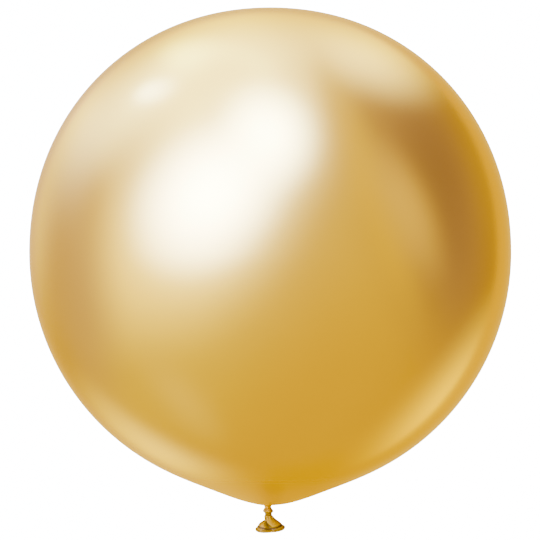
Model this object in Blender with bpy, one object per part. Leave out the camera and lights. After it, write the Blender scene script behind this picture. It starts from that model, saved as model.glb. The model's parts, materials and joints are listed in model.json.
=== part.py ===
"""A giant round latex balloon, inflated and tied, lying on its side.

The balloon is one skin: the body, the neck, the knot and the open tail with its rolled lip.
Metres, +Z up. The origin is the centre of the flat spot that the balloon lies on. The axis of
the balloon runs along Y, with the crown at +Y and the tail at -Y. The body is sealed, so it is
solid; only the tail below the knot is an open cup with a thin wall.
"""

import math

import bmesh
import bpy
from mathutils import Vector

# Body: a round outline about the axis, fuller at the crown and drawn out to the neck
BODY_RADIUS = 0.300
CROWN_DEPTH = 0.305  # widest section to crown
CROWN_FULLNESS = 2.073  # exponent of the outline on the crown side, where 2 is an ellipse
NECK_SIDE_DEPTH = 0.3015  # widest section to the foot of the funnel
FUNNEL_RISE = 0.0133  # height of the low funnel that the neck draws out of the skin
FUNNEL_SPREAD = math.radians(11.25)
FLAT_SPOT_RADIUS = 0.035

# Neck and knot: round sections, each crest and waist eased into the next one down
NECK_RADIUS = 0.0041
NECK_FILLET = 0.0022
NECK_TO_BEAD = 0.0054
BEAD_RADIUS = 0.0065
BEAD_TO_CREASE = 0.0029
UPPER_CREASE_RADIUS = 0.0042
CREASE_TO_BAND = 0.0008
BAND_RADIUS = 0.0046
BAND_TO_CREASE = 0.0008
LOWER_CREASE_RADIUS = 0.0042
CREASE_TO_SHOULDER = 0.0016
SHOULDER_RADIUS = 0.0055
WRAP_GROOVE_COUNT = 4  # grooves between the turns of latex on the bead
WRAP_GROOVE_DEPTH = 0.0011
WRAP_GROOVE_HALF_ANGLE = math.radians(15)
WRAP_TURN = math.radians(38)  # the first groove, round from +X towards +Z
WRAP_SLANT = math.radians(14)

# Tail: an oval cup from the shoulder to the rolled lip. Its +X side opens straight out, and its
# -X side hangs down before it swells into a sagging lobe behind a crease
TAIL_LENGTH = 0.0150
TAIL_WALL = 0.0006
STRAIGHT_END = 0.90  # share of the tail's length where the straight side is fully open
SAG_START = 0.345  # share of the tail's length where the lobe springs out
SAG_SPRING = 1.5  # how squarely it springs out
SAG_ROUNDNESS = 1.6  # how roundly it then comes down to the lip
LIP_HALF_WIDTH = 0.0172  # to the middle of the roll, as is the half depth
LIP_HALF_DEPTH = 0.0078
LIP_SQUARENESS = 2.7  # exponent of the mouth's outline, where 2 is an ellipse
LIP_ROLL_RADIUS = 0.0014
LIP_DROOP = 0.0011  # front and back of the lip hang below its two ends
LIP_LEAN = math.radians(20)  # the mouth looks down, away from the upper side
LIP_SLOPE = math.radians(4.2)  # the -X end hangs lower
CREASE_DEPTH = 0.0026
CREASE_HALF_WIDTH = 0.0028  # on the lobe's side, under the straight side's edge
CREASE_EDGE_WIDTH = 0.0009
CREASE_TOP_TURN = math.radians(128)  # round from +X towards +Z
CREASE_LIP_TURN = math.radians(86)
CREASE_START = 0.08  # share of the tail's length, as are the next two
CREASE_FULL_DEPTH = 0.28
CREASE_END = 0.85
CREASE_LEFT_AT_LIP = 0.35  # share of the crease's depth that reaches the lip
CREASE_HOLD = 6  # how far down the crease keeps its depth: a higher power holds it longer
LOBE_EDGE_TURN = math.radians(14)  # the lobe gives way to the straight side over this angle
UNDER_TURN = math.radians(90)  # the underside, round from +X towards -Z
UNDER_EDGE_TURN = math.radians(90)
UNDER_HOLLOW_DEPTH = 0.0010  # a soft hollow opposite the crease
UNDER_HOLLOW_HALF_WIDTH = 0.0034
MOUTH_FLOOR = 0.45  # the cup ends at this share of the tail's length, where it is pinched shut

# The knot sits a little to one side of the axis, and the tail comes back across it
NECK_SHIFT = -0.0030
SHOULDER_SHIFT = -0.0021
LIP_SHIFT = 0.0
SHIFT_FADE = 0.0080  # distance from the neck in which the body takes up the shift

# Facets
BODY_SIDES = 64
BODY_RINGS = 34
KNOT_SIDES = 52
FILLET_RINGS = 3
KNOT_RING_STEP = 0.0008
LEAST_EASE_RINGS = 2  # between one crest or waist of the knot and the next
TAIL_RINGS = 12
LIP_RINGS = 9
DRAWN_TURN = math.radians(150)  # facets this far round from the crease are drawn along with it
SPOT_REFINED_RADIUS = 2.2 * FLAT_SPOT_RADIUS
SPOT_CUT_COUNT = 2

AXIS_HEIGHT = math.sqrt(BODY_RADIUS**2 - FLAT_SPOT_RADIUS**2)
KNOT_LENGTH = NECK_TO_BEAD + BEAD_TO_CREASE + CREASE_TO_BAND + BAND_TO_CREASE + CREASE_TO_SHOULDER
ROOT_RADIUS = NECK_RADIUS + NECK_FILLET  # where the fillet leaves the body
ROOT_ANGLE = math.asin(ROOT_RADIUS / (NECK_SIDE_DEPTH + FUNNEL_RISE))


def ease(share):
    """0 to 1 with level ends."""
    held = min(max(share, 0.0), 1.0)
    return held * held * (3 - 2 * held)


def blend(start, end, share):
    return start + (end - start) * share


def body_reach(angle):
    """Distance from the body's centre to its skin, at an angle from the neck's direction."""
    across, along = math.sin(angle), math.cos(angle)
    if along > 0:
        reach = 1 / math.hypot(across / BODY_RADIUS, along / NECK_SIDE_DEPTH)
        return reach + FUNNEL_RISE * math.exp(-((angle / FUNNEL_SPREAD) ** 2))
    power = CROWN_FULLNESS
    return ((across / BODY_RADIUS) ** power + (-along / CROWN_DEPTH) ** power) ** (-1 / power)


def body_section(angle):
    """Radius and place on the axis of the body's skin."""
    reach = body_reach(angle)
    return reach * math.sin(angle), -reach * math.cos(angle)


def around(sides, first=0.0):
    return [first + 2 * math.pi * side / sides for side in range(sides)]


def knot_turns():
    """Angles of the knot's points, the same as at the top of the tail."""
    return around(KNOT_SIDES, (CREASE_TOP_TURN + CREASE_LIP_TURN) / 2 - math.pi)


def round_ring(radius, along, shift, turns):
    return [
        Vector((shift + radius * math.cos(turn), along, AXIS_HEIGHT + radius * math.sin(turn)))
        for turn in turns
    ]


def body_rings():
    """Rings from the one next to the crown to the root of the neck."""
    rings = []
    for step in range(1, BODY_RINGS + 1):
        angle = blend(math.pi, ROOT_ANGLE, step / BODY_RINGS)
        radius, along = body_section(angle)
        shift = 0.0
        if along < 0:
            shift = NECK_SHIFT * math.exp(-(((radius - ROOT_RADIUS) / SHIFT_FADE) ** 2))
        rings.append(round_ring(radius, along, shift, around(BODY_SIDES)))
    return rings


def wrap_depth(turn, drop):
    """How far the slanting grooves between the bead's turns cut in."""
    share = min(drop / (NECK_TO_BEAD + BEAD_TO_CREASE), 1)
    pitch = 2 * math.pi / WRAP_GROOVE_COUNT
    slanted = turn - WRAP_TURN - WRAP_SLANT * (share - 0.5)
    off = (slanted + pitch / 2) % pitch - pitch / 2
    held = WRAP_GROOVE_DEPTH * math.sin(math.pi * share)
    return held * math.exp(-((off / WRAP_GROOVE_HALF_ANGLE) ** 2))


def knot_outline():
    """Way down the axis and radius at each crest and waist, from the neck to the shoulder."""
    return [
        (0.0, NECK_RADIUS),
        (NECK_TO_BEAD, BEAD_RADIUS),
        (BEAD_TO_CREASE, UPPER_CREASE_RADIUS),
        (CREASE_TO_BAND, BAND_RADIUS),
        (BAND_TO_CREASE, LOWER_CREASE_RADIUS),
        (CREASE_TO_SHOULDER, SHOULDER_RADIUS),
    ]


def knot_ring(radius, drop, neck_foot):
    shift = blend(NECK_SHIFT, SHOULDER_SHIFT, drop / KNOT_LENGTH)
    ring = []
    for turn in knot_turns():
        held = radius - wrap_depth(turn, drop)
        ring.append(
            Vector((shift + held * math.cos(turn), neck_foot - drop, AXIS_HEIGHT + held * math.sin(turn)))
        )
    return ring


def neck_and_knot_rings(root_along):
    """Rings from inside the fillet to the tail's shoulder."""
    rings = []
    for step in range(1, FILLET_RINGS + 1):
        bend = blend(math.pi / 2, math.pi, step / FILLET_RINGS)
        radius = ROOT_RADIUS + NECK_FILLET * math.cos(bend)
        along = root_along - NECK_FILLET * (1 - math.sin(bend))
        rings.append(round_ring(radius, along, NECK_SHIFT, knot_turns()))
    neck_foot = root_along - NECK_FILLET
    outline = knot_outline()
    drop = 0.0
    for (_, radius), (run, next_radius) in zip(outline, outline[1:]):
        steps = max(LEAST_EASE_RINGS, round(run / KNOT_RING_STEP))
        for step in range(1, steps + 1):
            share = step / steps
            rings.append(
                knot_ring(blend(radius, next_radius, ease(share)), drop + run * share, neck_foot)
            )
        drop += run
    return rings, neck_foot - drop


def squared_turn(turn, share):
    """Across and up of a section's outline, round at the shoulder and squarer at the lip."""
    power = blend(1, 2 / LIP_SQUARENESS, share)
    across, up = math.cos(turn), math.sin(turn)
    return math.copysign(abs(across) ** power, across), math.copysign(abs(up) ** power, up)


def lip_along(turn, shoulder_along):
    """Place on the axis of the lip's middle, round the mouth."""
    across, up = squared_turn(turn, 1.0)
    lean = LIP_HALF_DEPTH * math.tan(LIP_LEAN) * up
    slope = LIP_HALF_WIDTH * math.tan(LIP_SLOPE) * across
    return shoulder_along - TAIL_LENGTH - LIP_DROOP * up**2 - lean + slope


def straight_flare(share):
    """How far the straight side has opened, from 0 at the shoulder to 1 at the lip."""
    opened = min(share / STRAIGHT_END, 1.0)
    return (opened + ease(opened)) / 2


def sagging_flare(share):
    """The same for the lobe."""
    swell = max(share - SAG_START, 0.0) / (1 - SAG_START)
    return (1 - (1 - swell) ** SAG_ROUNDNESS) ** (1 / SAG_SPRING)


def crease_turn(share):
    """Where the crease runs round the upper side of the tail."""
    run = ease((share - CREASE_START) / (CREASE_END - CREASE_START))
    return blend(CREASE_TOP_TURN, CREASE_LIP_TURN, run)


def tail_turns(share):
    """Angles of one ring's points, drawn round so that one row of them runs down the crease."""
    middle = (CREASE_TOP_TURN + CREASE_LIP_TURN) / 2
    drawn = (crease_turn(share) - middle) * ease(share / CREASE_FULL_DEPTH)
    turns = []
    for side in range(KNOT_SIDES):
        off = 2 * math.pi * (side / KNOT_SIDES - 0.5)
        turns.append(middle + off + drawn * (1 - ease(abs(off) / DRAWN_TURN)))
    return turns


def lobe_weight(turn, share):
    """1 in the lobe and 0 on the straight side, changing at the crease and softly underneath."""
    round_turn = (turn + UNDER_TURN) % (2 * math.pi) - UNDER_TURN
    upper = ease((round_turn - crease_turn(share)) / LOBE_EDGE_TURN)
    under = ease((round_turn - math.pi - UNDER_TURN) / UNDER_EDGE_TURN + 1)
    return upper * (1 - under)


def crease_cut(turn, share, reach):
    """How far the crease, and the hollow opposite it, cut in towards the tail's middle."""
    opened = ease((share - CREASE_START) / (CREASE_FULL_DEPTH - CREASE_START))
    held = opened * blend(1, CREASE_LEFT_AT_LIP, ease(share) ** CREASE_HOLD)
    half_turn = (turn - crease_turn(share)) % (2 * math.pi) - math.pi
    off = (half_turn - math.copysign(math.pi, half_turn)) * reach
    width = CREASE_HALF_WIDTH if off > 0 else CREASE_EDGE_WIDTH
    crease = CREASE_DEPTH * math.exp(-((off / width) ** 2))
    hollow = UNDER_HOLLOW_DEPTH * math.exp(-((half_turn * reach / UNDER_HOLLOW_HALF_WIDTH) ** 2))
    return held * (crease + hollow)


def tail_point(turn, share, shoulder_along, wall=0.0):
    """A point of the tail's skin, from the shoulder at share 0 to the middle of the lip at 1.

    With a wall, the point is on the inner skin: that much farther in, and lower down the tail.
    """
    formed = share - wall / TAIL_LENGTH
    flare = blend(straight_flare(formed), sagging_flare(formed), lobe_weight(turn, share))
    across, up = squared_turn(turn, share)
    across *= blend(SHOULDER_RADIUS, LIP_HALF_WIDTH, flare)
    up *= blend(SHOULDER_RADIUS, LIP_HALF_DEPTH, flare)
    reach = math.hypot(across, up)
    held = 1 - (crease_cut(turn, share, reach) + wall) / reach
    return Vector(
        (
            blend(SHOULDER_SHIFT, LIP_SHIFT, share) + across * held,
            blend(shoulder_along, lip_along(turn, shoulder_along), share),
            AXIS_HEIGHT + up * held,
        )
    )


def lip_rings(shoulder_along):
    """Rings round the roll of the lip, from its outer root over the rim to its inner root."""
    middles = [tail_point(turn, 1.0, shoulder_along) for turn in tail_turns(1.0)]
    rings = []
    first, last = math.radians(115), math.radians(-205)
    for step in range(LIP_RINGS + 1):
        bend = blend(first, last, step / LIP_RINGS)
        ring = []
        for side, middle in enumerate(middles):
            run = middles[(side + 1) % KNOT_SIDES] - middles[side - 1]
            outward = Vector((run.z, 0, -run.x)).normalized()
            backward = outward.cross(run).normalized()
            if backward.y < 0:
                backward = -backward
            ring.append(middle + LIP_ROLL_RADIUS * (math.cos(bend) * outward + math.sin(bend) * backward))
        rings.append(ring)
    return rings


def tail_rings(shoulder_along):
    """Rings down the outside of the tail, round the lip and up the inside of the cup."""
    root_share = 1 - 1.2 * LIP_ROLL_RADIUS / TAIL_LENGTH  # the wall runs into the roll here
    shares = [root_share * step / TAIL_RINGS for step in range(1, TAIL_RINGS + 1)]
    rings = [
        [tail_point(turn, share, shoulder_along) for turn in tail_turns(share)] for share in shares
    ]
    rings += lip_rings(shoulder_along)
    for share in reversed(shares):
        if share > MOUTH_FLOOR:
            rings.append(
                [tail_point(turn, share, shoulder_along, TAIL_WALL) for turn in tail_turns(share)]
            )
    return rings


def ring_edges(mesh, verts):
    return [mesh.edges.get((verts[side - 1], verts[side])) for side in range(len(verts))]


def join_with_quads(mesh, upper, lower):
    for side in range(len(upper)):
        mesh.faces.new((upper[side - 1], upper[side], lower[side], lower[side - 1]))


def cap_with_point(mesh, verts, point):
    tip = mesh.verts.new(point)
    for side in range(len(verts)):
        mesh.faces.new((verts[side - 1], verts[side], tip))


def skin_mesh():
    """The whole skin as one closed surface, ring by ring from the crown to the cup's floor."""
    mesh = bmesh.new()
    body = body_rings()
    knot, shoulder_along = neck_and_knot_rings(body[-1][0].y)
    tail = tail_rings(shoulder_along)
    body_verts = [[mesh.verts.new(point) for point in ring] for ring in body]
    knot_verts = [[mesh.verts.new(point) for point in ring] for ring in knot + tail]
    for rings in (body_verts, knot_verts):
        for upper, lower in zip(rings, rings[1:]):
            join_with_quads(mesh, upper, lower)
    seam = ring_edges(mesh, body_verts[-1]) + ring_edges(mesh, knot_verts[0])
    bmesh.ops.bridge_loops(mesh, edges=seam)
    cap_with_point(mesh, body_verts[0], Vector((0, CROWN_DEPTH, AXIS_HEIGHT)))
    floor_middle = sum(tail[-1], Vector()) / KNOT_SIDES
    cap_with_point(mesh, knot_verts[-1], floor_middle + Vector((0, TAIL_WALL, 0)))
    return mesh


def refine_round_spot(mesh):
    """Splits the facets about the flat spot and lays the new points on the true skin."""
    centre = Vector((0, 0, AXIS_HEIGHT))
    near = [
        edge
        for edge in mesh.edges
        if all(v.co.z < AXIS_HEIGHT and v.co.xy.length < SPOT_REFINED_RADIUS for v in edge.verts)
    ]
    bmesh.ops.subdivide_edges(mesh, edges=near, cuts=SPOT_CUT_COUNT, use_grid_fill=True)
    for vert in mesh.verts:
        if vert.co.z < AXIS_HEIGHT and vert.co.xy.length < SPOT_REFINED_RADIUS:
            away = (vert.co - centre).normalized()
            vert.co = centre + away * body_reach(math.acos(-away.y))


def cut_flat_spot(mesh):
    """Cuts the underside level, so that the balloon lies still."""
    everything = mesh.verts[:] + mesh.edges[:] + mesh.faces[:]
    cut = bmesh.ops.bisect_plane(
        mesh, geom=everything, plane_co=(0, 0, 0), plane_no=(0, 0, 1), clear_inner=True
    )
    rim = [item for item in cut["geom_cut"] if isinstance(item, bmesh.types.BMEdge)]
    for vert in {vert for edge in rim for vert in edge.verts}:
        place = vert.co.copy()
        reach = body_reach(math.acos(-place.y / math.hypot(place.x, place.y, AXIS_HEIGHT)))
        vert.co = place * (math.sqrt(reach**2 - AXIS_HEIGHT**2) / place.length)
    bmesh.ops.contextual_create(mesh, geom=rim)


def latex_material():
    material = bpy.data.materials.new("gold_chrome_latex")
    material.use_nodes = True
    shader = material.node_tree.nodes["Principled BSDF"]
    shader.inputs["Base Color"].default_value = (0.62, 0.34, 0.06, 1)
    shader.inputs["Metallic"].default_value = 1.0
    shader.inputs["Roughness"].default_value = 0.28
    return material


def build_balloon():
    mesh = skin_mesh()
    refine_round_spot(mesh)
    cut_flat_spot(mesh)
    bmesh.ops.triangulate(mesh, faces=[face for face in mesh.faces if len(face.verts) > 4])
    bmesh.ops.recalc_face_normals(mesh, faces=mesh.faces)
    data = bpy.data.meshes.new("latex_balloon")
    mesh.to_mesh(data)
    mesh.free()
    data.shade_smooth()
    data.set_sharp_from_angle(angle=math.radians(40))
    data.materials.append(latex_material())
    balloon = bpy.data.objects.new("latex_balloon", data)
    bpy.context.scene.collection.objects.link(balloon)
    return balloon


for old in list(bpy.data.objects):
    bpy.data.objects.remove(old)
build_balloon()
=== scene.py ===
import json
import math

import bmesh
import bpy
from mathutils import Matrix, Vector

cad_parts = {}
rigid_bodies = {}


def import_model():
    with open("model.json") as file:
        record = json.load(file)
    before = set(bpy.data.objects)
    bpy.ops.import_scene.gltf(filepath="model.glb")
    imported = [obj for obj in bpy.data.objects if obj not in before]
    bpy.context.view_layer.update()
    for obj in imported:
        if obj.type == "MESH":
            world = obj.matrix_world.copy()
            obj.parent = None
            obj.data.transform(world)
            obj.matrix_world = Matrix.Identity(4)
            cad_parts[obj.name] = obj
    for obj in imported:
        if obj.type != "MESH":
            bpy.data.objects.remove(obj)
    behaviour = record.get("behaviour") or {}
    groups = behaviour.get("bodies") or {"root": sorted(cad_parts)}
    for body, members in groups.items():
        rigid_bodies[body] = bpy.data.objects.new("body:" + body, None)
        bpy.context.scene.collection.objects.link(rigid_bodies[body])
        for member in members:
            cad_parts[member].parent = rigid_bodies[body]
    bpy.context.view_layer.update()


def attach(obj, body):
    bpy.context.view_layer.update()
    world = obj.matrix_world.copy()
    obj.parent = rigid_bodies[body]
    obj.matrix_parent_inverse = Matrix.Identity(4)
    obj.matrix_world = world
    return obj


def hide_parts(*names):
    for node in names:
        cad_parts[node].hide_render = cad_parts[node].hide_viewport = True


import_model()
scene = bpy.context.scene

# Body: a round outline about the axis, fuller at the crown and drawn out to the neck. Metres, as below
body = {
    "radius": 0.300,
    "crownDepth": 0.305,  # widest section to crown
    "crownFullness": 2.073,  # exponent of the outline on the crown side, where 2 is an ellipse
    "neckSideDepth": 0.3015,  # widest section to the foot of the funnel
    "funnelRise": 0.0133,
    "funnelSpread": math.radians(11.25),
    "flatSpotRadius": 0.035,
    "flatSpotSoftness": 0.0006,  # how far the skin bends over at the flat spot's edge
    "pleatCount": 17,
    "pleatDepth": 0.00016,
    "pleatReach": 0.016,  # the pleats fade over this distance from the neck
    "dullAndLightReach": 0.075,  # and the duller skin, painted a lighter gold, over this one
    "sides": 192,
    "rings": 260,
    "ringCrowding": 1.6,  # higher puts more rings near the neck
}
# Neck and knot: round sections, each crest and waist eased into the next one down
neck = {
    "radius": 0.0041,
    "fillet": 0.0022,
    "toBead": 0.0054,
    "beadRadius": 0.0065,
    "beadToCrease": 0.0029,
    "upperCreaseRadius": 0.0042,
    "creaseToBand": 0.0008,
    "bandRadius": 0.0046,
    "bandToCrease": 0.0008,
    "lowerCreaseRadius": 0.0042,
    "creaseToShoulder": 0.0016,
    "shoulderRadius": 0.0055,
    "grooveCount": 4,  # grooves between the turns of latex on the bead
    "grooveDepth": 0.0011,
    "grooveHalfAngle": math.radians(15),
    "grooveTurn": math.radians(38),
    "grooveSlant": math.radians(14),
    "wrinkleCount": 23,
    "wrinkleSlant": 9,
    "wrinkleDepth": 0.00009,
    "shift": -0.0030,  # the knot sits a little to one side of the axis
    "shoulderShift": -0.0021,
    "shiftFade": 0.0080,
    "slackAtNeck": 0.55,  # how far neck and bead have gone over to the tail's look
    "grooveShade": 0.5,  # how much painted shade the folds get
    "waistShade": 0.7,
    "waistSpread": 0.0004,
    "filletRings": 12,
    "leastRings": 6,  # between one crest or waist and the next
    "ringStep": 0.00022,
}
# Tail: an oval cup from the shoulder to the rolled lip. Its +X side opens straight out, and its -X side
# hangs down before it swells into a sagging lobe behind a crease
tail = {
    "length": 0.0150,
    "wall": 0.0006,
    "straightEnd": 0.90,  # share of the length where the straight side is fully open
    "sagStart": 0.345,
    "sagSpring": 1.5,
    "sagRoundness": 1.6,
    "lipHalfWidth": 0.0172,
    "lipHalfDepth": 0.0078,
    "lipSquareness": 2.7,
    "lipDroop": 0.0011,
    "lipLean": math.radians(20),
    "lipSlope": math.radians(4.2),
    "rollRadius": 0.0014,
    "rollUnevenness": 0.05,
    "rollWaves": ((5, 0.7, 1.0), (11, 2.1, 0.6)),  # count round the lip, start and strength
    "rollStart": math.radians(115),
    "rollEnd": math.radians(-205),
    "rollRoot": 1.2,  # the wall runs into the roll this many of its radii above its middle
    "creaseDepth": 0.0026,
    "creaseHalfWidth": 0.0028,
    "creaseEdgeWidth": 0.0009,
    "creaseTopTurn": math.radians(128),
    "creaseLipTurn": math.radians(86),
    "creaseStart": 0.08,
    "creaseFullDepth": 0.28,
    "creaseEnd": 0.85,
    "creaseLeftAtLip": 0.35,
    "creaseHold": 6,
    "drawnTurn": math.radians(150),  # points this far round from the crease are drawn along with it
    "lobeEdgeTurn": math.radians(14),
    "underTurn": math.radians(90),
    "underEdgeTurn": math.radians(90),
    "underHollowDepth": 0.0010,
    "underHollowHalfWidth": 0.0034,
    "mouthFloor": 0.45,
    "gatherCount": 15,  # fine folds where the knot gathers the top of the tail
    "gatherDepth": 0.00022,
    "gatherFull": 0.06,
    "gatherEnd": 0.40,
    "gatherBunches": 3,
    "gatherBunching": 1.3,
    "lipGroovePlace": 0.85,  # share of the length, at the middle of the lip
    "lipGrooveRise": 0.125,  # how much higher it lies at the lip's ends
    "lipGrooveSpread": 0.072,
    "lipGrooveDepth": 0.0006,
    "creaseShade": 0.75,  # how much painted shade the folds get; rollShade paints the whole roll of the lip darker
    "lipGrooveShade": 0.88,
    "gatherShade": 0.3,
    "rollShade": 0.28,
    "rings": 64,
    "rollRings": 30,
}
weldDistance = 0.00002

axisHeight = math.sqrt(body["radius"] ** 2 - body["flatSpotRadius"] ** 2)
rootRadius = neck["radius"] + neck["fillet"]  # where the fillet leaves the body
rootAngle = math.asin(rootRadius / (body["neckSideDepth"] + body["funnelRise"]))
firstTurn = (tail["creaseTopTurn"] + tail["creaseLipTurn"]) / 2 - math.pi


# 0 to 1 with level ends
def ease(share):
    held = min(max(share, 0.0), 1.0)
    return held * held * (3 - 2 * held)


def blend(start, end, share):
    return start + (end - start) * share


def opaque(colour):
    return (*colour, 1)


# Short calls for the nodes of one tree
class Tree:
    def __init__(self, tree):
        self.tree = tree

    def node(self, kind, **settings):
        made = self.tree.nodes.new(kind)
        for name, value in settings.items():
            setattr(made, name, value)
        return made

    def plug(self, value, socket):
        if isinstance(value, bpy.types.NodeSocket):
            self.tree.links.new(value, socket)
        else:
            socket.default_value = value

    def fill(self, made, values):
        for value, socket in zip(values, made.inputs):
            self.plug(value, socket)
        return made.outputs[0]

    def math(self, operation, *values):
        return self.fill(self.node("ShaderNodeMath", operation=operation), values)

    def vector(self, operation, *values):
        return self.fill(self.node("ShaderNodeVectorMath", operation=operation), values)

    def product(self, first, *rest):
        for value in rest:
            first = self.math("MULTIPLY", first, value)
        return first

    def square(self, value):
        return self.math("POWER", value, 2)

    # 1 in the middle, fading away over a width
    def bell(self, value, width):
        squared = self.square(self.math("DIVIDE", value, width))
        return self.math("EXPONENT", self.math("MULTIPLY", squared, -1))

    def length(self, across, up):
        squares = self.math("ADD", self.product(across, across), self.product(up, up))
        return self.math("SQRT", squares)

    def choose(self, test, whenTrue, whenFalse):
        made = self.node("GeometryNodeSwitch", input_type="FLOAT")
        return self.fill(made, (test, whenFalse, whenTrue))

    def mapRange(self, value, fromMin, fromMax, toMin, toMax, curve="LINEAR"):
        made = self.node("ShaderNodeMapRange", interpolation_type=curve)
        return self.fill(made, (value, fromMin, fromMax, toMin, toMax))

    def mixColour(self, share, first, second):
        made = self.node("ShaderNodeMix", data_type="RGBA", clamp_result=False)
        self.plug(share, made.inputs[0])
        self.plug(first, made.inputs[6])
        self.plug(second, made.inputs[7])
        return made.outputs[2]

    def split(self, vector):
        made = self.node("ShaderNodeSeparateXYZ")
        self.plug(vector, made.inputs[0])
        return made.outputs


def addSocket(tree, name, kind, value=None, way="INPUT"):
    made = tree.interface.new_socket(name, in_out=way, socket_type=kind)
    if value is not None:
        made.default_value = value


skinInputs = {
    "Sides": body["sides"],
    "Rings": body["rings"],
    "Ring Crowding": body["ringCrowding"],
    "Radius": body["radius"],
    "Crown Depth": body["crownDepth"],
    "Crown Fullness": body["crownFullness"],
    "Neck Side Depth": body["neckSideDepth"],
    "Funnel Rise": body["funnelRise"],
    "Funnel Spread": body["funnelSpread"],
    "Axis Height": axisHeight,
    "Root Angle": rootAngle,
    "Root Radius": rootRadius,
    "First Turn": firstTurn,
    "Neck Shift": neck["shift"],
    "Shift Fade": neck["shiftFade"],
    "Pleat Count": body["pleatCount"],
    "Pleat Depth": body["pleatDepth"],
    "Pleat Reach": body["pleatReach"],
    "Dull And Light Reach": body["dullAndLightReach"],
    "Flat Softness": body["flatSpotSoftness"],
}


# Distance from the body's centre to its skin, at an angle from the neck's direction
def skinReach(t, given, angle, across, along):
    # neck side: an ellipse with the low funnel on it
    part = t.square(t.math("DIVIDE", across, given["Radius"]))
    part = t.math("ADD", part, t.square(t.math("DIVIDE", along, given["Neck Side Depth"])))
    funnel = t.product(given["Funnel Rise"], t.bell(angle, given["Funnel Spread"]))
    neckReach = t.math("ADD", t.math("INVERSE_SQRT", part), funnel)
    # crown side: a fuller curve
    power = given["Crown Fullness"]
    part = t.math("POWER", t.math("DIVIDE", across, given["Radius"]), power)
    depth = t.math("DIVIDE", t.math("ABSOLUTE", along), given["Crown Depth"])
    part = t.math("ADD", part, t.math("POWER", depth, power))
    crownReach = t.math("POWER", part, t.math("DIVIDE", -1, power))
    return t.choose(t.math("GREATER_THAN", along, 0), neckReach, crownReach)


# The flat spot: level below the floor line, bent over softly at its edge
def flattened(t, z, softness):
    bent = t.math("DIVIDE", t.square(t.math("ADD", z, softness)), t.math("MULTIPLY", softness, 4))
    above = t.math("GREATER_THAN", z, t.math("MULTIPLY", softness, -1))
    return t.choose(t.math("LESS_THAN", z, softness), t.product(bent, above), z)


# Bends a grid round the body: one of its ways goes round the axis, the other from crown to neck
def makeSkinTree(material):
    tree = bpy.data.node_groups.new("balloonSkin", "GeometryNodeTree")
    addSocket(tree, "Geometry", "NodeSocketGeometry", way="OUTPUT")
    for name, value in skinInputs.items():
        addSocket(tree, name, "NodeSocketInt" if isinstance(value, int) else "NodeSocketFloat", value)
    t = Tree(tree)
    given = t.node("NodeGroupInput").outputs
    grid = t.node("GeometryNodeMeshGrid")
    t.fill(grid, (1.0, 1.0, t.math("ADD", given["Sides"], 1), given["Rings"]))
    flat = t.split(t.node("GeometryNodeInputPosition").outputs[0])
    turnShare = t.math("ADD", flat["X"], 0.5)
    ringShare = t.math("ADD", flat["Y"], 0.5)  # 0 at the crown, 1 at the root of the neck

    turn = t.math("MULTIPLY_ADD", turnShare, 2 * math.pi, given["First Turn"])
    fromRoot = t.math("POWER", t.math("SUBTRACT", 1, ringShare), given["Ring Crowding"])
    wholeAngle = t.math("SUBTRACT", math.pi, given["Root Angle"])
    angle = t.math("MULTIPLY_ADD", wholeAngle, fromRoot, given["Root Angle"])
    across = t.math("ABSOLUTE", t.math("SINE", angle))
    along = t.math("COSINE", angle)
    reach = skinReach(t, given, angle, across, along)
    out = t.math("SUBTRACT", t.product(reach, angle), given["Root Radius"])  # distance from the neck

    # fine pleats run out of the neck and fade on the body
    fade = t.math("EXPONENT", t.math("DIVIDE", t.math("MULTIPLY", out, -1), given["Pleat Reach"]))
    pleatTurn = t.product(t.math("SUBTRACT", turn, given["First Turn"]), given["Pleat Count"])
    reach = t.math("ADD", reach, t.product(t.math("COSINE", pleatTurn), fade, given["Pleat Depth"]))

    ringRadius = t.product(reach, across)
    shift = t.product(given["Neck Shift"], t.bell(out, given["Shift Fade"]))
    x = t.math("ADD", t.product(ringRadius, t.math("COSINE", turn)), shift)
    y = t.product(reach, along, -1)
    z = t.math("ADD", t.product(ringRadius, t.math("SINE", turn)), given["Axis Height"])
    place = t.fill(t.node("ShaderNodeCombineXYZ"), (x, y, flattened(t, z, given["Flat Softness"])))

    # how dull the skin is, and how much lighter gold is painted on it, from 0 on the stretched body to 1 at
    # the neck. It is stored before the grid is bent, while its positions still give the shares
    store = t.node("GeometryNodeStoreNamedAttribute", data_type="FLOAT", domain="POINT")
    t.plug(grid.outputs["Mesh"], store.inputs["Geometry"])
    t.plug("dullAndLightened", store.inputs["Name"])
    t.plug(t.bell(out, given["Dull And Light Reach"]), store.inputs["Value"])
    bend = t.node("GeometryNodeSetPosition")
    t.plug(store.outputs[0], bend.inputs["Geometry"])
    t.plug(place, bend.inputs["Position"])
    weld = t.node("GeometryNodeMergeByDistance")
    t.plug(bend.outputs[0], weld.inputs["Geometry"])
    t.plug(weldDistance, weld.inputs["Distance"])
    real = t.fill(t.node("GeometryNodeRealizeInstances"), (weld.outputs[0],))
    paint = t.node("GeometryNodeSetMaterial")
    t.plug(real, paint.inputs["Geometry"])
    t.plug(material, paint.inputs["Material"])
    t.plug(paint.outputs[0], t.node("NodeGroupOutput").inputs[0])
    return tree


# The body's skin as a plain mesh
def growSkin(material):
    tree = makeSkinTree(material)
    holder = bpy.data.objects.new("skinHolder", bpy.data.meshes.new("skinHolder"))
    scene.collection.objects.link(holder)
    modifier = holder.modifiers.new("balloonSkin", "NODES")
    modifier.node_group = tree
    for item in tree.interface.items_tree:
        if item.in_out == "INPUT":
            modifier[item.identifier] = skinInputs[item.name]
    bpy.context.view_layer.update()
    seen = holder.evaluated_get(bpy.context.evaluated_depsgraph_get())
    skin = bpy.data.meshes.new_from_object(seen)
    bpy.data.objects.remove(holder)
    print("body:", len(skin.vertices), "points")
    return skin


def knotTurns():
    return [firstTurn + 2 * math.pi * side / body["sides"] for side in range(body["sides"])]


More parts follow.
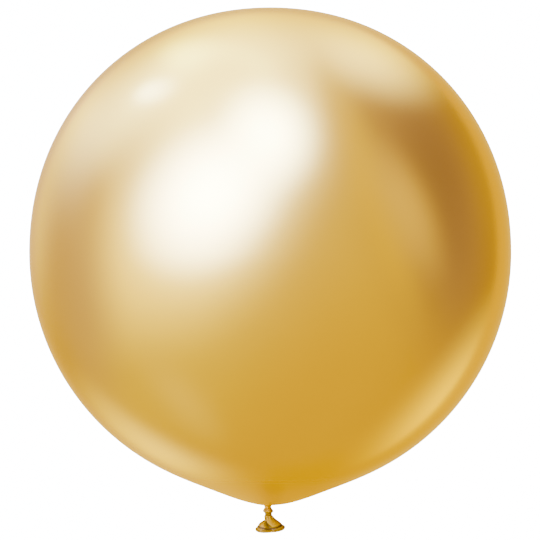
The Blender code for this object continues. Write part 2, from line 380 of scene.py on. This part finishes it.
# A point of a round section that stands across the axis
def onRing(shift, radius, along, turn):
    return Vector((shift + radius * math.cos(turn), along, axisHeight + radius * math.sin(turn)))


def rootReach():
    across, along = math.sin(rootAngle), math.cos(rootAngle)
    reach = 1 / math.hypot(across / body["radius"], along / body["neckSideDepth"])
    return reach + body["funnelRise"] * math.exp(-((rootAngle / body["funnelSpread"]) ** 2))


def pleatAt(turn):
    return body["pleatDepth"] * math.cos(body["pleatCount"] * (turn - firstTurn))


# The body's last ring again. Each point of a ring here has its place, slackness and painted fold shade
def rootRing():
    ring = []
    for turn in knotTurns():
        reach = rootReach() + pleatAt(turn)
        point = onRing(neck["shift"], reach * math.sin(rootAngle), -reach * math.cos(rootAngle), turn)
        ring.append((point, 0.0, 0.0))
    return ring


def filletRings(rootAlong):
    rings = []
    for step in range(1, neck["filletRings"] + 1):
        share = step / neck["filletRings"]
        bend = blend(math.pi / 2, math.pi, share)
        radius = rootRadius + neck["fillet"] * math.cos(bend)
        along = rootAlong - neck["fillet"] * (1 - math.sin(bend))
        ring = []
        for turn in knotTurns():
            pleat = pleatAt(turn) * (1 - share)
            pleatedRadius = radius + pleat * math.sin(share * math.pi / 2)
            pleatedAlong = along - pleat * math.cos(share * math.pi / 2)
            point = onRing(neck["shift"], pleatedRadius, pleatedAlong, turn)
            ring.append((point, neck["slackAtNeck"] * share, 0.0))
        rings.append(ring)
    return rings


# How far the slanting grooves and the fine wrinkles between them cut into the bead
def wrapDepth(turn, drop):
    share = min(drop / (neck["toBead"] + neck["beadToCrease"]), 1)
    pitch = 2 * math.pi / neck["grooveCount"]
    slanted = turn - neck["grooveTurn"] - neck["grooveSlant"] * (share - 0.5)
    off = (slanted + pitch / 2) % pitch - pitch / 2
    held = math.sin(math.pi * share)
    groove = neck["grooveDepth"] * held * math.exp(-((off / neck["grooveHalfAngle"]) ** 2))
    wave = math.cos(neck["wrinkleCount"] * slanted + neck["wrinkleSlant"] * share)
    return groove + neck["wrinkleDepth"] * held * wave


# Way down the axis and radius at each crest and waist, from the neck to the shoulder
def knotOutline():
    return [
        (0.0, neck["radius"]),
        (neck["toBead"], neck["beadRadius"]),
        (neck["beadToCrease"], neck["upperCreaseRadius"]),
        (neck["creaseToBand"], neck["bandRadius"]),
        (neck["bandToCrease"], neck["lowerCreaseRadius"]),
        (neck["creaseToShoulder"], neck["shoulderRadius"]),
    ]


# The bead keeps more of the body's gold than the tail
def slackAt(drop):
    return blend(neck["slackAtNeck"], 1, ease((drop - neck["toBead"]) / neck["beadToCrease"]))


# 1 at the bottom of the two creases under the bead, where painted shade darkens them
def waistShadeMask(drop):
    upper = neck["toBead"] + neck["beadToCrease"]
    lower = upper + neck["creaseToBand"] + neck["bandToCrease"]
    return sum(math.exp(-(((drop - waist) / neck["waistSpread"]) ** 2)) for waist in (upper, lower))


def knotRing(radius, drop, neckFoot):
    knotLength = sum(run for run, _ in knotOutline())
    shift = blend(neck["shift"], neck["shoulderShift"], drop / knotLength)
    ring = []
    for turn in knotTurns():
        cut = wrapDepth(turn, drop)
        point = onRing(shift, radius - cut, neckFoot - drop, turn)
        # painted shade in the grooves of the bead and in the two creases under it
        grooveShadeAmount = max(cut / neck["grooveDepth"], 0) * neck["grooveShade"]
        foldShade = grooveShadeAmount + waistShadeMask(drop) * neck["waistShade"]
        ring.append((point, slackAt(drop), min(foldShade, 1)))
    return ring


def knotRings(neckFoot):
    rings = []
    outline = knotOutline()
    drop = 0.0
    for (_, radius), (run, nextRadius) in zip(outline, outline[1:]):
        steps = max(neck["leastRings"], round(run / neck["ringStep"]))
        for step in range(1, steps + 1):
            share = step / steps
            rings.append(knotRing(blend(radius, nextRadius, ease(share)), drop + run * share, neckFoot))
        drop += run
    return rings, neckFoot - drop


# Across and up of a section's outline, round at the shoulder and squarer at the lip
def squaredTurn(turn, share):
    power = blend(1, 2 / tail["lipSquareness"], share)
    across, up = math.cos(turn), math.sin(turn)
    return math.copysign(abs(across) ** power, across), math.copysign(abs(up) ** power, up)


def lipAlong(turn, shoulderAlong):
    across, up = squaredTurn(turn, 1.0)
    lean = tail["lipHalfDepth"] * math.tan(tail["lipLean"]) * up
    slope = tail["lipHalfWidth"] * math.tan(tail["lipSlope"]) * across
    return shoulderAlong - tail["length"] - tail["lipDroop"] * up**2 - lean + slope


# How far the two sides have opened, from 0 at the shoulder to 1 at the lip
def straightFlare(share):
    opened = min(share / tail["straightEnd"], 1.0)
    return (opened + ease(opened)) / 2


def saggingFlare(share):
    swell = max(share - tail["sagStart"], 0.0) / (1 - tail["sagStart"])
    return (1 - (1 - swell) ** tail["sagRoundness"]) ** (1 / tail["sagSpring"])


def creaseTurn(share):
    run = ease((share - tail["creaseStart"]) / (tail["creaseEnd"] - tail["creaseStart"]))
    return blend(tail["creaseTopTurn"], tail["creaseLipTurn"], run)


# Angles of one ring's points, drawn round so that one row of them runs down the crease
def tailTurns(share):
    middle = (tail["creaseTopTurn"] + tail["creaseLipTurn"]) / 2
    drawn = (creaseTurn(share) - middle) * ease(share / tail["creaseFullDepth"])
    turns = []
    for side in range(body["sides"]):
        off = 2 * math.pi * (side / body["sides"] - 0.5)
        turns.append(middle + off + drawn * (1 - ease(abs(off) / tail["drawnTurn"])))
    return turns


# 1 in the lobe and 0 on the straight side, changing at the crease and softly underneath
def lobeWeight(turn, share):
    roundTurn = (turn + tail["underTurn"]) % (2 * math.pi) - tail["underTurn"]
    upper = ease((roundTurn - creaseTurn(share)) / tail["lobeEdgeTurn"])
    under = ease((roundTurn - math.pi - tail["underTurn"]) / tail["underEdgeTurn"] + 1)
    return upper * (1 - under)


# How far the crease, and the hollow opposite it, cut in towards the tail's middle
def creaseCut(turn, share, reach):
    opened = ease((share - tail["creaseStart"]) / (tail["creaseFullDepth"] - tail["creaseStart"]))
    held = opened * blend(1, tail["creaseLeftAtLip"], ease(share) ** tail["creaseHold"])
    halfTurn = (turn - creaseTurn(share)) % (2 * math.pi) - math.pi
    off = (halfTurn - math.copysign(math.pi, halfTurn)) * reach
    width = tail["creaseHalfWidth"] if off > 0 else tail["creaseEdgeWidth"]
    crease = tail["creaseDepth"] * math.exp(-((off / width) ** 2))
    hollow = tail["underHollowDepth"] * math.exp(-((halfTurn * reach / tail["underHollowHalfWidth"]) ** 2))
    return held * (crease + hollow)


def gatherRise(turn, share):
    held = ease(share / tail["gatherFull"]) * (1 - ease(share / tail["gatherEnd"]))
    bunched = tail["gatherBunching"] * math.sin(tail["gatherBunches"] * turn)
    return held * math.cos(tail["gatherCount"] * turn + bunched)


# 1 at the bottom of the groove above the lip, which lies higher at the lip's two ends
def lipGroove(turn, share):
    place = tail["lipGroovePlace"] - tail["lipGrooveRise"] * abs(math.cos(turn))
    return math.exp(-(((share - place) / tail["lipGrooveSpread"]) ** 2))


# A point of the tail's skin, from the shoulder at share 0 to the middle of the lip at 1. With a wall, the
# point is on the inner skin
def tailPoint(turn, share, shoulderAlong, wall=0.0):
    formed = share - wall / tail["length"]
    flare = blend(straightFlare(formed), saggingFlare(formed), lobeWeight(turn, share))
    across, up = squaredTurn(turn, share)
    across *= blend(neck["shoulderRadius"], tail["lipHalfWidth"], flare)
    up *= blend(neck["shoulderRadius"], tail["lipHalfDepth"], flare)
    reach = math.hypot(across, up)
    crease = creaseCut(turn, share, reach)
    gather = gatherRise(turn, share)
    groove = lipGroove(turn, share)
    relief = gather * tail["gatherDepth"] - groove * tail["lipGrooveDepth"]
    held = 1 - (crease + wall - relief) / reach
    point = Vector(
        (
            blend(neck["shoulderShift"], 0, share) + across * held,
            blend(shoulderAlong, lipAlong(turn, shoulderAlong), share),
            axisHeight + up * held,
        )
    )
    # painted shade in the crease, in the groove above the lip and in the troughs of the gathers
    creaseShadeAmount = tail["creaseShade"] * crease / tail["creaseDepth"]
    foldShade = max(creaseShadeAmount, tail["lipGrooveShade"] * groove, tail["gatherShade"] * ease(-gather))
    return point, 1.0, foldShade


def rollRadiusAt(turn):
    uneven = sum(strength * math.sin(count * turn + start) for count, start, strength in tail["rollWaves"])
    strongest = sum(strength for _, _, strength in tail["rollWaves"])
    return tail["rollRadius"] * (1 - tail["rollUnevenness"] * (1 + uneven / strongest) / 2)


# Rings round the roll of the lip, from its outer root over the rim to its inner root
def rollRings(shoulderAlong):
    middles = [tailPoint(turn, 1.0, shoulderAlong)[0] for turn in tailTurns(1.0)]
    rings = []
    for step in range(tail["rollRings"] + 1):
        bend = blend(tail["rollStart"], tail["rollEnd"], step / tail["rollRings"])
        ring = []
        for side, middle in enumerate(middles):
            run = middles[(side + 1) % len(middles)] - middles[side - 1]
            outward = Vector((run.z, 0, -run.x)).normalized()
            backward = outward.cross(run).normalized()
            if backward.y < 0:
                backward = -backward
            radius = rollRadiusAt(2 * math.pi * side / len(middles))
            point = middle + radius * (math.cos(bend) * outward + math.sin(bend) * backward)
            # the whole roll of the lip is painted darker with the fold shade
            ring.append((point, 1.0, tail["rollShade"]))
        rings.append(ring)
    return rings


# Rings down the outside of the tail, round the lip and up the inside of the cup
def tailRings(shoulderAlong):
    rootShare = 1 - tail["rollRoot"] * tail["rollRadius"] / tail["length"]
    shares = [rootShare * step / tail["rings"] for step in range(1, tail["rings"] + 1)]
    rings = [[tailPoint(turn, share, shoulderAlong) for turn in tailTurns(share)] for share in shares]
    rings += rollRings(shoulderAlong)
    for share in reversed(shares):
        if share > tail["mouthFloor"]:
            rings.append([tailPoint(turn, share, shoulderAlong, tail["wall"]) for turn in tailTurns(share)])
    return rings


# Lays rings of points into a mesh, joins each to the next and closes the last one
def loftRings(mesh, rings):
    layers = mesh.verts.layers.float
    layers.new("slack")
    # one layer holds how much painted fold shade each point gets
    layers.new("foldShade")
    # looked up only now, because a new layer moves the ones before it
    slack, foldShade, dullAndLightened = layers["slack"], layers["foldShade"], layers["dullAndLightened"]
    verts = []
    for ring in rings:
        verts.append([])
        for point, loose, shadeDepth in ring:
            vert = mesh.verts.new(point)
            vert[slack], vert[foldShade], vert[dullAndLightened] = loose, shadeDepth, 1.0
            verts[-1].append(vert)
    for upper, lower in zip(verts, verts[1:]):
        for side in range(len(upper)):
            mesh.faces.new((upper[side - 1], upper[side], lower[side], lower[side - 1]))
    last = verts[-1]
    middle = sum((vert.co for vert in last), Vector()) / len(last)
    tip = mesh.verts.new(middle + Vector((0, tail["wall"], 0)))
    for side in range(len(last)):
        mesh.faces.new((last[side - 1], last[side], tip))


# Adds neck, knot and tail to the body's skin and welds them to it
def tieBalloon(skin, material):
    mesh = bmesh.new()
    mesh.from_mesh(skin)
    rootAlong = -rootReach() * math.cos(rootAngle)
    knot, shoulderAlong = knotRings(rootAlong - neck["fillet"])
    loftRings(mesh, [rootRing()] + filletRings(rootAlong) + knot + tailRings(shoulderAlong))
    bmesh.ops.remove_doubles(mesh, verts=mesh.verts, dist=weldDistance)
    bmesh.ops.recalc_face_normals(mesh, faces=mesh.faces)
    for face in mesh.faces:
        face.smooth = True
        face.material_index = 0
    mesh.to_mesh(skin)
    openEdges = sum(1 for edge in mesh.edges if len(edge.link_faces) != 2)
    triangles = sum(len(face.verts) - 2 for face in mesh.faces)
    mesh.free()
    skin.materials.clear()
    skin.materials.append(material)
    print("skin:", triangles, "triangles,", openEdges, "open edges")


latex = {
    "gold": (0.82, 0.52, 0.10),
    "neckLightenedGold": (0.85, 0.54, 0.080),  # the duller skin round the neck, painted a lighter gold: painted light that offsets the knot's dark reflection there
    "slackShadedGold": (0.60, 0.37, 0.022),  # knot and tail, where the skin is hardly stretched: a deeper gold, also painted darker as shade on the knot
    "foldShadeBrown": (0.13, 0.056, 0.006),  # painted shade down in the folds
    "edgeGold": (0.92, 0.74, 0.32),  # keeps the gold's colour at a glancing view
    "roughness": 0.20,
    "neckRoughness": 0.75,
    "slackRoughness": 0.80,
    "rimShade": 1.0,  # how much painted shade the slack skin gets towards its outline
    "rimPower": 2.2,
    "coat": 0.3,
    "coatRoughness": 0.5,
    "cloudScale": 9.0,  # faint cloudiness of the colour
    "cloudDetail": 3.0,
    "cloudStrength": 0.03,
}


def makeLatex():
    material = bpy.data.materials.new("chromeLatex")
    material.use_nodes = True
    t = Tree(material.node_tree)
    shader = material.node_tree.nodes["Principled BSDF"]
    shader.inputs["Metallic"].default_value = 1.0
    shader.inputs["Specular Tint"].default_value = opaque(latex["edgeGold"])
    shader.inputs["Coat Weight"].default_value = latex["coat"]
    shader.inputs["Coat Roughness"].default_value = latex["coatRoughness"]
    dullAndLightened, slack, foldShade = (
        t.node("ShaderNodeAttribute", attribute_name=name).outputs["Fac"]
        for name in ("dullAndLightened", "slack", "foldShade")
    )
    # painted light: a lighter gold round the neck offsets the dark reflection of the knot there
    colour = t.mixColour(dullAndLightened, opaque(latex["gold"]), opaque(latex["neckLightenedGold"]))
    # the hardly stretched skin's deeper gold, partly painted shade that darkens knot and tail
    colour = t.mixColour(slack, colour, opaque(latex["slackShadedGold"]))
    # painted shade: the slack skin darkens towards its outline as seen, standing in for dark surroundings
    # reflected at its edge
    facing = t.node("ShaderNodeLayerWeight").outputs["Facing"]
    rim = t.product(t.math("POWER", facing, latex["rimPower"]), slack, latex["rimShade"])
    # painted shade: folds and the slack skin's outline are mixed towards brown
    colour = t.mixColour(t.math("MAXIMUM", foldShade, rim), colour, opaque(latex["foldShadeBrown"]))
    cloud = t.node("ShaderNodeTexNoise")
    t.plug(t.node("ShaderNodeTexCoord").outputs["Object"], cloud.inputs["Vector"])
    cloud.inputs["Scale"].default_value = latex["cloudScale"]
    cloud.inputs["Detail"].default_value = latex["cloudDetail"]
    strength = latex["cloudStrength"]
    shade = t.mapRange(cloud.outputs[0], 0, 1, 1 - strength, 1 + strength)
    tint = t.node("ShaderNodeVectorMath", operation="SCALE")
    t.plug(colour, tint.inputs[0])
    t.plug(shade, tint.inputs["Scale"])
    t.plug(tint.outputs[0], shader.inputs["Base Color"])
    rough = t.mapRange(dullAndLightened, 0, 1, latex["roughness"], latex["neckRoughness"])
    rough = t.mapRange(slack, 0, 1, rough, latex["slackRoughness"])
    t.plug(rough, shader.inputs["Roughness"])
    print("latex: material made")
    return material


# The room's own light, then soft boxes and dark flags laid over it one after another, placed as a chrome
# ball seen from above would show them. An oval has its place across and up on the ball, half sizes, turn
# in degrees, softness and brightness. A strip follows the ball's rim: distance from the middle, direction
# in degrees, half thickness, half length in degrees, and the rest as for an oval
roomLight = (0.68, 0.54, 0.29)
softBoxes = {
    "leftRoom": ("oval", -0.09, -0.16, 0.48, 1.02, -56, 1.0, (0.95, 0.95, 0.45)),
    "rightRoom": ("oval", 0.66, 0.22, 0.23, 0.67, 14, 0.7, (0.45, 0.37, 0.6)),
    "darkCore": ("oval", 0.65, 0.22, 0.11, 0.24, 8, 0.75, (0.38, 0.31, 0.5)),
    "topStrip": ("strip", 0.93, 160, 0.1, 27, 0, 1.0, (2.4, 3.0, 8.0)),
    "creamStrip": ("strip", 0.79, 122, 0.09, 25, 0, 1.0, (2.6, 3.3, 6.5)),
    "creamPeak": ("oval", -0.21, 0.74, 0.14, 0.07, -11, 1.0, (10.5, 18.0, 40.0)),
    "smallOval": ("oval", -0.46, 0.63, 0.08, 0.04, 18, 0.5, (6.5, 10.0, 39.0)),
    "topLobe": ("oval", 0.38, 0.79, 0.22, 0.11, -25, 1.0, (2.1, 2.5, 4.0)),
    "keyHalo": ("oval", -0.38, 0.04, 0.34, 0.24, 35, 1.0, (1.9, 2.1, 1.8)),
    "keySoft": ("oval", -0.19, 0.56, 0.49, 0.34, 76, 0.7, (2.4, 2.9, 4.3)),
    "keyCore": ("oval", -0.24, 0.21, 0.22, 0.16, 39, 0.9, (6.5, 9.0, 30.0)),
    "keyTip": ("oval", -0.01, 0.44, 0.12, 0.14, 22, 0.95, (6.0, 8.5, 27.0)),
    "leftDim": ("oval", -0.82, -0.18, 0.15, 0.59, 6, 0.75, (0.75, 0.7, 0.85)),
    "lowLeft": ("strip", 0.94, -118, 0.05, 18, 0, 1.0, (1.6, 1.8, 2.7)),
    "lowRight": ("strip", 1.1, -44, 0.18, 26, 0, 0.85, (3.0, 3.3, 1.7)),
    "faintStreak": ("oval", 0.39, 0.26, 0.07, 0.43, 21, 0.65, (0.95, 0.9, 0.3)),
    "rightRim": ("strip", 1.0, -18, 0.07, 92, 0, 0.1, (0.95, 0.85, 0.7)),
    "lowRoom": ("oval", 0.12, -1.02, 0.96, 0.32, 78, 1.0, (0.8, 0.7, 0.35)),
    "faintLine": ("oval", 0.55, 0.16, 0.08, 0.22, 26, 0.75, (0.9, 0.85, 0.75)),
    "lowPatch": ("oval", -0.36, -0.59, 0.06, 0.16, 42, 1.0, (1.0, 1.0, 0.7)),
    "underFloor": ("strip", 0.99, 0, 0.02, 400, 0, 0.9, (0.95, 0.85, 0.4)),
}


# Lays one soft shape over the light that comes in, at the place where the ball shows it
def makeSoftBoxGroup(kind):
    tree = bpy.data.node_groups.new("softBox" + kind.title(), "ShaderNodeTree")
    for name in ("Ball X", "Ball Y", "Place A", "Place B", "Half A", "Half B", "Turn", "Softness"):
        addSocket(tree, name, "NodeSocketFloat")
    for name in ("Light", "Brightness"):
        addSocket(tree, name, "NodeSocketColor")
    addSocket(tree, "Light", "NodeSocketColor", way="OUTPUT")
    t = Tree(tree)
    given = t.node("NodeGroupInput").outputs
    if kind == "oval":
        dx = t.math("SUBTRACT", given["Ball X"], given["Place A"])
        dy = t.math("SUBTRACT", given["Ball Y"], given["Place B"])
        turn = t.math("RADIANS", given["Turn"])
    else:
        dx, dy = given["Ball X"], given["Ball Y"]
        turn = t.math("RADIANS", given["Place B"])
    cosine, sine = t.math("COSINE", turn), t.math("SINE", turn)
    u = t.math("ADD", t.product(dx, cosine), t.product(dy, sine))
    v = t.math("SUBTRACT", t.product(dy, cosine), t.product(dx, sine))
    if kind == "strip":
        radius = t.length(u, v)
        v = t.math("DEGREES", t.math("ARCTAN2", v, u))
        u = t.math("SUBTRACT", radius, given["Place A"])
    off = t.length(t.math("DIVIDE", u, given["Half A"]), t.math("DIVIDE", v, given["Half B"]))
    edgeOut = t.math("ADD", 1, given["Softness"])
    edgeIn = t.math("SUBTRACT", 1, given["Softness"])
    mask = t.mapRange(off, edgeOut, edgeIn, 0, 1, "SMOOTHSTEP")
    mixed = t.mixColour(mask, given["Light"], given["Brightness"])
    t.plug(mixed, t.node("NodeGroupOutput").inputs[0])
    return tree


studio = {
    "floorColour": (0.30, 0.30, 0.22),
    "floorGlow": 4.4,
    "contactShadowGlow": 1.4,  # a painted contact shadow: the floor glows less under the balloon
    "contactShadowReach": (0.04, 0.23),
    "floorHalfWidth": 30,
    "lens": 300,
    "sensor": 36,
    "farthest": 100,
    "bodyPixels": 481.6,  # width of the body in the picture
    "imagePixels": 540,
    "middle": (-0.00031, -0.02174),  # the camera stands above this place
}
# the camera's direction, a hair over 1 long, so that what comes from straight below has a place too
towardsCamera = (0, 0, 1.00001)


def makeWorld():
    world = bpy.data.worlds.new("softStudio")
    scene.world = world
    world.use_nodes = True
    t = Tree(world.node_tree)
    # halfway between the light's direction and the camera's is where the ball shows that light
    direction = t.node("ShaderNodeTexCoord").outputs["Generated"]
    onBall = t.split(t.vector("NORMALIZE", t.vector("ADD", direction, towardsCamera)))
    groups = {kind: makeSoftBoxGroup(kind) for kind in ("oval", "strip")}
    light = opaque(roomLight)
    for name, (kind, *sizes, brightness) in softBoxes.items():
        box = t.node("ShaderNodeGroup", node_tree=groups[kind], name=name, label=name)
        light = t.fill(box, (onBall["X"], onBall["Y"], *sizes, light, opaque(brightness)))
    # straight behind the balloon the studio is as white as the floor
    seen = t.node("ShaderNodeLightPath").outputs["Is Camera Ray"]
    white = opaque([studio["floorGlow"]] * 3)
    t.plug(t.mixColour(seen, light, white), world.node_tree.nodes["Background"].inputs["Color"])
    print("studio:", len(softBoxes), "soft boxes")


def makeFloor():
    mesh = bmesh.new()
    bmesh.ops.create_grid(mesh, x_segments=1, y_segments=1, size=studio["floorHalfWidth"])
    data = bpy.data.meshes.new("floor")
    mesh.to_mesh(data)
    mesh.free()
    floor = bpy.data.objects.new("floor", data)
    scene.collection.objects.link(floor)
    floor.visible_glossy = False
    material = bpy.data.materials.new("paleFloor")
    material.use_nodes = True
    t = Tree(material.node_tree)
    # the floor's glow dims towards where the balloon lies: a painted contact shadow
    away = t.node("ShaderNodeVectorMath", operation="LENGTH")
    t.plug(t.node("ShaderNodeTexCoord").outputs["Object"], away.inputs[0])
    glowWithContactShadow = t.mapRange(
        away.outputs["Value"],
        *studio["contactShadowReach"],
        studio["contactShadowGlow"],
        studio["floorGlow"],
        "SMOOTHSTEP",
    )
    shader = material.node_tree.nodes["Principled BSDF"]
    t.plug(glowWithContactShadow, shader.inputs["Emission Strength"])
    shader.inputs["Emission Color"].default_value = (1, 1, 1, 1)
    shader.inputs["Base Color"].default_value = opaque(studio["floorColour"])
    shader.inputs["Roughness"].default_value = 1.0
    shader.inputs["Specular IOR Level"].default_value = 0.0
    data.materials.append(material)
    print("floor: laid")


def makeCamera():
    camera = bpy.data.objects.new("photoCamera", bpy.data.cameras.new("photoCamera"))
    scene.collection.objects.link(camera)
    camera.data.lens = studio["lens"]
    camera.data.sensor_width = studio["sensor"]
    camera.data.clip_end = studio["farthest"]
    frameWidth = 2 * body["radius"] * studio["imagePixels"] / studio["bodyPixels"]
    distance = frameWidth * studio["lens"] / studio["sensor"]
    camera.location = (*studio["middle"], axisHeight + distance)
    scene.camera = camera
    print("camera:", round(distance, 3), "m above the balloon's axis")


latexMaterial = makeLatex()
skin = growSkin(latexMaterial)
tieBalloon(skin, latexMaterial)
balloon = bpy.data.objects.new("balloonSkin", skin)
scene.collection.objects.link(balloon)
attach(balloon, "root")
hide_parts("latex_balloon")

makeWorld()
makeFloor()
makeCamera()
scene.view_settings.view_transform = "AgX"
scene.view_settings.look = "AgX - High Contrast"
